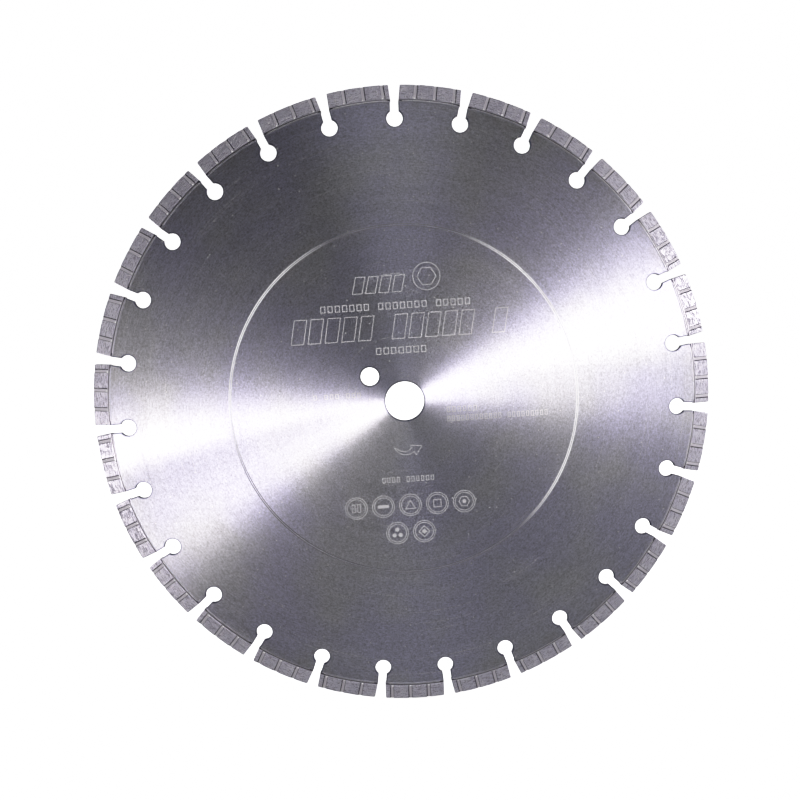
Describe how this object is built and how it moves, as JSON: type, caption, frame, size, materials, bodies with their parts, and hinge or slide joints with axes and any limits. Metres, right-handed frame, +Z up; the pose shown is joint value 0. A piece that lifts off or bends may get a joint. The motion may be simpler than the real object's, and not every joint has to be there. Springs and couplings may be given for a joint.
{
  "type": "segmented diamond blade",
  "caption": "Round steel saw blade for masonry with diamond segments welded round its rim, keyhole gullets between them, a central arbor bore and a drive pin hole.",
  "frame": {"origin": "centre of the arbor bore, on the blade's mid-plane", "axes": "+Y along the arbor axis, away from the marked face, which looks towards -Y; +Z up and +X to the right as the marked face is seen, with one gullet 2 degrees counter-clockwise from +Z"},
  "size_m": [0.4, 0.0034, 0.4],
  "materials": {
    "core_steel": "finely brushed round the axis, bright anisotropic sheen",
    "diamond_matrix": "matte sintered metal with fine diamond grit",
    "segment_foot": "smooth sintered metal, lightly ground",
    "weld_metal": "rippled bright weld bead"
  },
  "bodies": {
    "root": {"steel_core": "core_steel", "segment_01": "diamond_matrix", "segment_02": "diamond_matrix", "segment_03": "diamond_matrix", "segment_04": "diamond_matrix", "segment_05": "diamond_matrix", "segment_06": "diamond_matrix", "segment_07": "diamond_matrix", "segment_08": "diamond_matrix", "segment_09": "diamond_matrix", "segment_10": "diamond_matrix", "segment_11": "diamond_matrix", "segment_12": "diamond_matrix", "segment_13": "diamond_matrix", "segment_14": "diamond_matrix", "segment_15": "diamond_matrix", "segment_16": "diamond_matrix", "segment_17": "diamond_matrix", "segment_18": "diamond_matrix", "segment_19": "diamond_matrix", "segment_20": "diamond_matrix", "segment_21": "diamond_matrix", "segment_22": "diamond_matrix", "segment_23": "diamond_matrix", "segment_24": "diamond_matrix", "segment_25": "diamond_matrix", "segment_26": "diamond_matrix", "segment_27": "diamond_matrix", "segment_foot_01": "segment_foot", "segment_foot_02": "segment_foot", "segment_foot_03": "segment_foot", "segment_foot_04": "segment_foot", "segment_foot_05": "segment_foot", "segment_foot_06": "segment_foot", "segment_foot_07": "segment_foot", "segment_foot_08": "segment_foot", "segment_foot_09": "segment_foot", "segment_foot_10": "segment_foot", "segment_foot_11": "segment_foot", "segment_foot_12": "segment_foot", "segment_foot_13": "segment_foot", "segment_foot_14": "segment_foot", "segment_foot_15": "segment_foot", "segment_foot_16": "segment_foot", "segment_foot_17": "segment_foot", "segment_foot_18": "segment_foot", "segment_foot_19": "segment_foot", "segment_foot_20": "segment_foot", "segment_foot_21": "segment_foot", "segment_foot_22": "segment_foot", "segment_foot_23": "segment_foot", "segment_foot_24": "segment_foot", "segment_foot_25": "segment_foot", "segment_foot_26": "segment_foot", "segment_foot_27": "segment_foot", "weld_beads_front": "weld_metal", "weld_beads_back": "weld_metal"}
  },
  "joints": []
}
